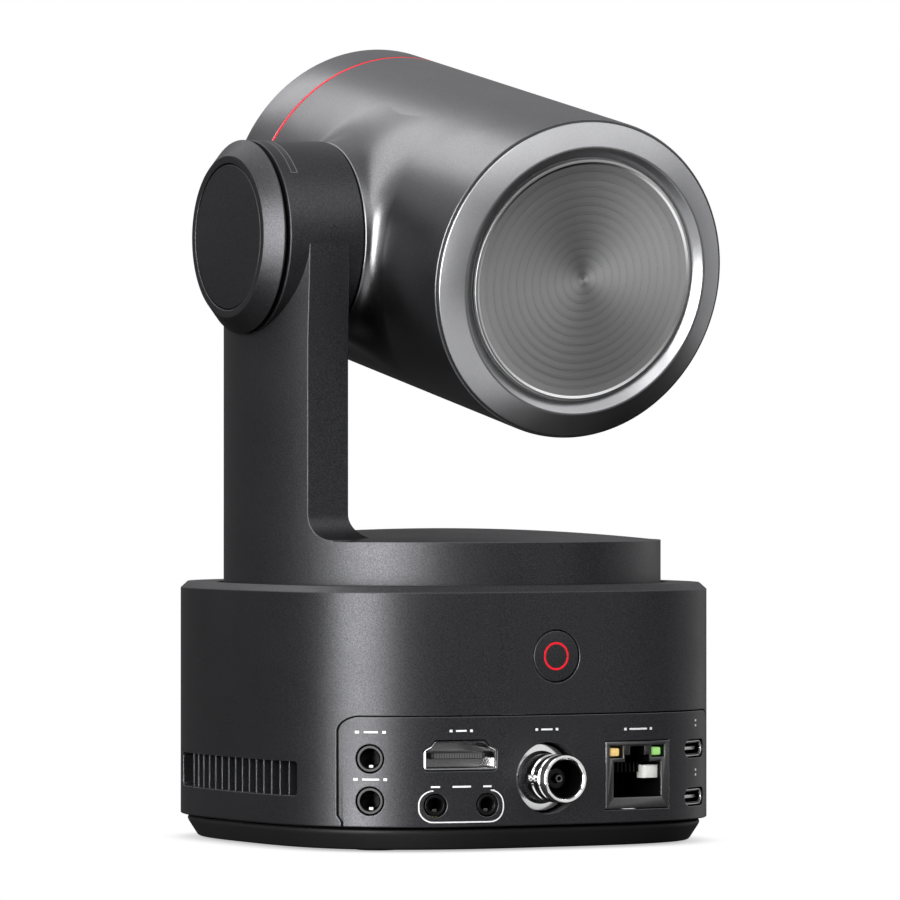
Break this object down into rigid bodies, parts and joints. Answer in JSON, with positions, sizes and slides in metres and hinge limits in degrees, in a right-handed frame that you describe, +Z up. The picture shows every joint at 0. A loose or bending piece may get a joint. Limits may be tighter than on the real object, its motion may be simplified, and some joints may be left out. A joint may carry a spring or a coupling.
{
  "type": "pan-tilt-zoom camera",
  "caption": "Pan-tilt-zoom camera: square rounded base with a rear socket panel, turntable, one side arm and a cylindrical head with a red accent ring.",
  "frame": {"origin": "on the surface the camera stands on, under the pan axis at the middle of the base", "axes": "+Z up along the pan axis, -Y the way the lens looks, +Y the side with the socket panel, +X the side of the arm"},
  "size_m": [0.0981, 0.1103, 0.1645],
  "materials": {
    "graphite": "fine satin metallic",
    "head_metal": "fine satin metallic, a shade lighter",
    "satin_rim": "satin anodised",
    "turned_metal": "face-turned with concentric marks",
    "foot_black": "near-black moulded",
    "rubber": "matte",
    "black_plastic": "fine moulded grain",
    "white_plastic": "moulded insulator",
    "chrome": "bright plated",
    "steel": "ground",
    "jack_metal": "dull nickel",
    "brass": "machined",
    "copper": "enamelled winding",
    "aluminium": "machined",
    "circuit_green": "solder mask",
    "cell_wrap": "shrink wrap",
    "accent_red": "anodised red",
    "lamp_amber": "clear amber lens",
    "lamp_green": "clear green lens",
    "smoked": "smoked light guide",
    "glass": "coated optical glass"
  },
  "bodies": {
    "base": {"base_housing": "graphite", "io_panel": "graphite", "bottom_cover": "foot_black", "rubber_foot_1": "rubber", "rubber_foot_2": "rubber", "rubber_foot_3": "rubber", "rubber_foot_4": "rubber", "tripod_insert": "brass", "pan_deck": "aluminium", "vent_grille_left": "black_plastic", "vent_grille_right": "black_plastic", "mic_jack": "jack_metal", "line_jack": "jack_metal", "serial_in_jack": "jack_metal", "serial_out_jack": "jack_metal", "video_port_shell": "chrome", "video_port_tongue": "black_plastic", "coax_body": "chrome", "coax_contact": "white_plastic", "network_jack_shell": "jack_metal", "network_jack_contacts": "brass", "link_lamp_amber": "lamp_amber", "link_lamp_green": "lamp_green", "power_port_upper": "steel", "power_port_lower": "steel", "io_board": "circuit_green", "main_board": "circuit_green", "heat_sink": "aluminium", "blower_housing": "black_plastic", "battery_pack": "cell_wrap", "pan_stator": "copper", "pan_bearing_outer": "steel", "slip_ring": "black_plastic", "button_switch": "black_plastic"},
    "button": {"record_button": "graphite"},
    "blower": {"blower_rotor": "black_plastic"},
    "yoke": {"yoke_shell": "graphite", "pan_rotor": "steel", "pan_bearing_inner": "steel", "hub_cap": "graphite", "hub_disc": "graphite", "tally_strip": "smoked", "tilt_stator": "copper", "tilt_bearing": "steel"},
    "head": {"head_shell": "head_metal", "rear_bezel": "satin_rim", "rear_disc": "turned_metal", "accent_ring": "accent_red", "tilt_shaft": "steel", "head_board": "circuit_green", "roll_stator": "copper"},
    "roll_front": {"front_barrel": "head_metal", "front_bezel": "black_plastic", "front_glass": "glass", "lens_barrel": "black_plastic", "roll_rotor": "steel", "sensor_board": "circuit_green"},
    "zoom": {"zoom_group": "glass"},
    "focus": {"focus_group": "glass"}
  },
  "joints": [
    {"name": "pan", "type": "hinge", "parent": "base", "child": "yoke", "pos_m": [0, 0, 0.0555], "axis": [0, 0, 1], "range_deg": [-160, 160]},
    {"name": "tilt", "type": "hinge", "parent": "yoke", "child": "head", "pos_m": [0, 0, 0.1232], "axis": [-1, 0, 0], "range_deg": [-71, 79]},
    {"name": "roll", "type": "hinge", "parent": "head", "child": "roll_front", "pos_m": [-0.00735, 0, 0.1232], "axis": [0, -0.9811, 0.1934], "range_deg": [-90, 90]},
    {"name": "zoom_slide", "type": "slide", "parent": "roll_front", "child": "zoom", "axis": [0, -0.9811, 0.1934], "range_m": [-0.008, 0.006]},
    {"name": "focus_slide", "type": "slide", "parent": "roll_front", "child": "focus", "axis": [0, -0.9811, 0.1934], "range_m": [-0.0025, 0.0025]},
    {"name": "record_press", "type": "slide", "parent": "base", "child": "button", "axis": [0, -1, 0], "range_m": [0, 0.0005], "stiffness_N_per_m": 1200},
    {"name": "blower_spin", "type": "hinge", "parent": "base", "child": "blower", "pos_m": [0.0195, -0.012, 0.0137], "axis": [0, 0, 1], "continuous": true}
  ]
}
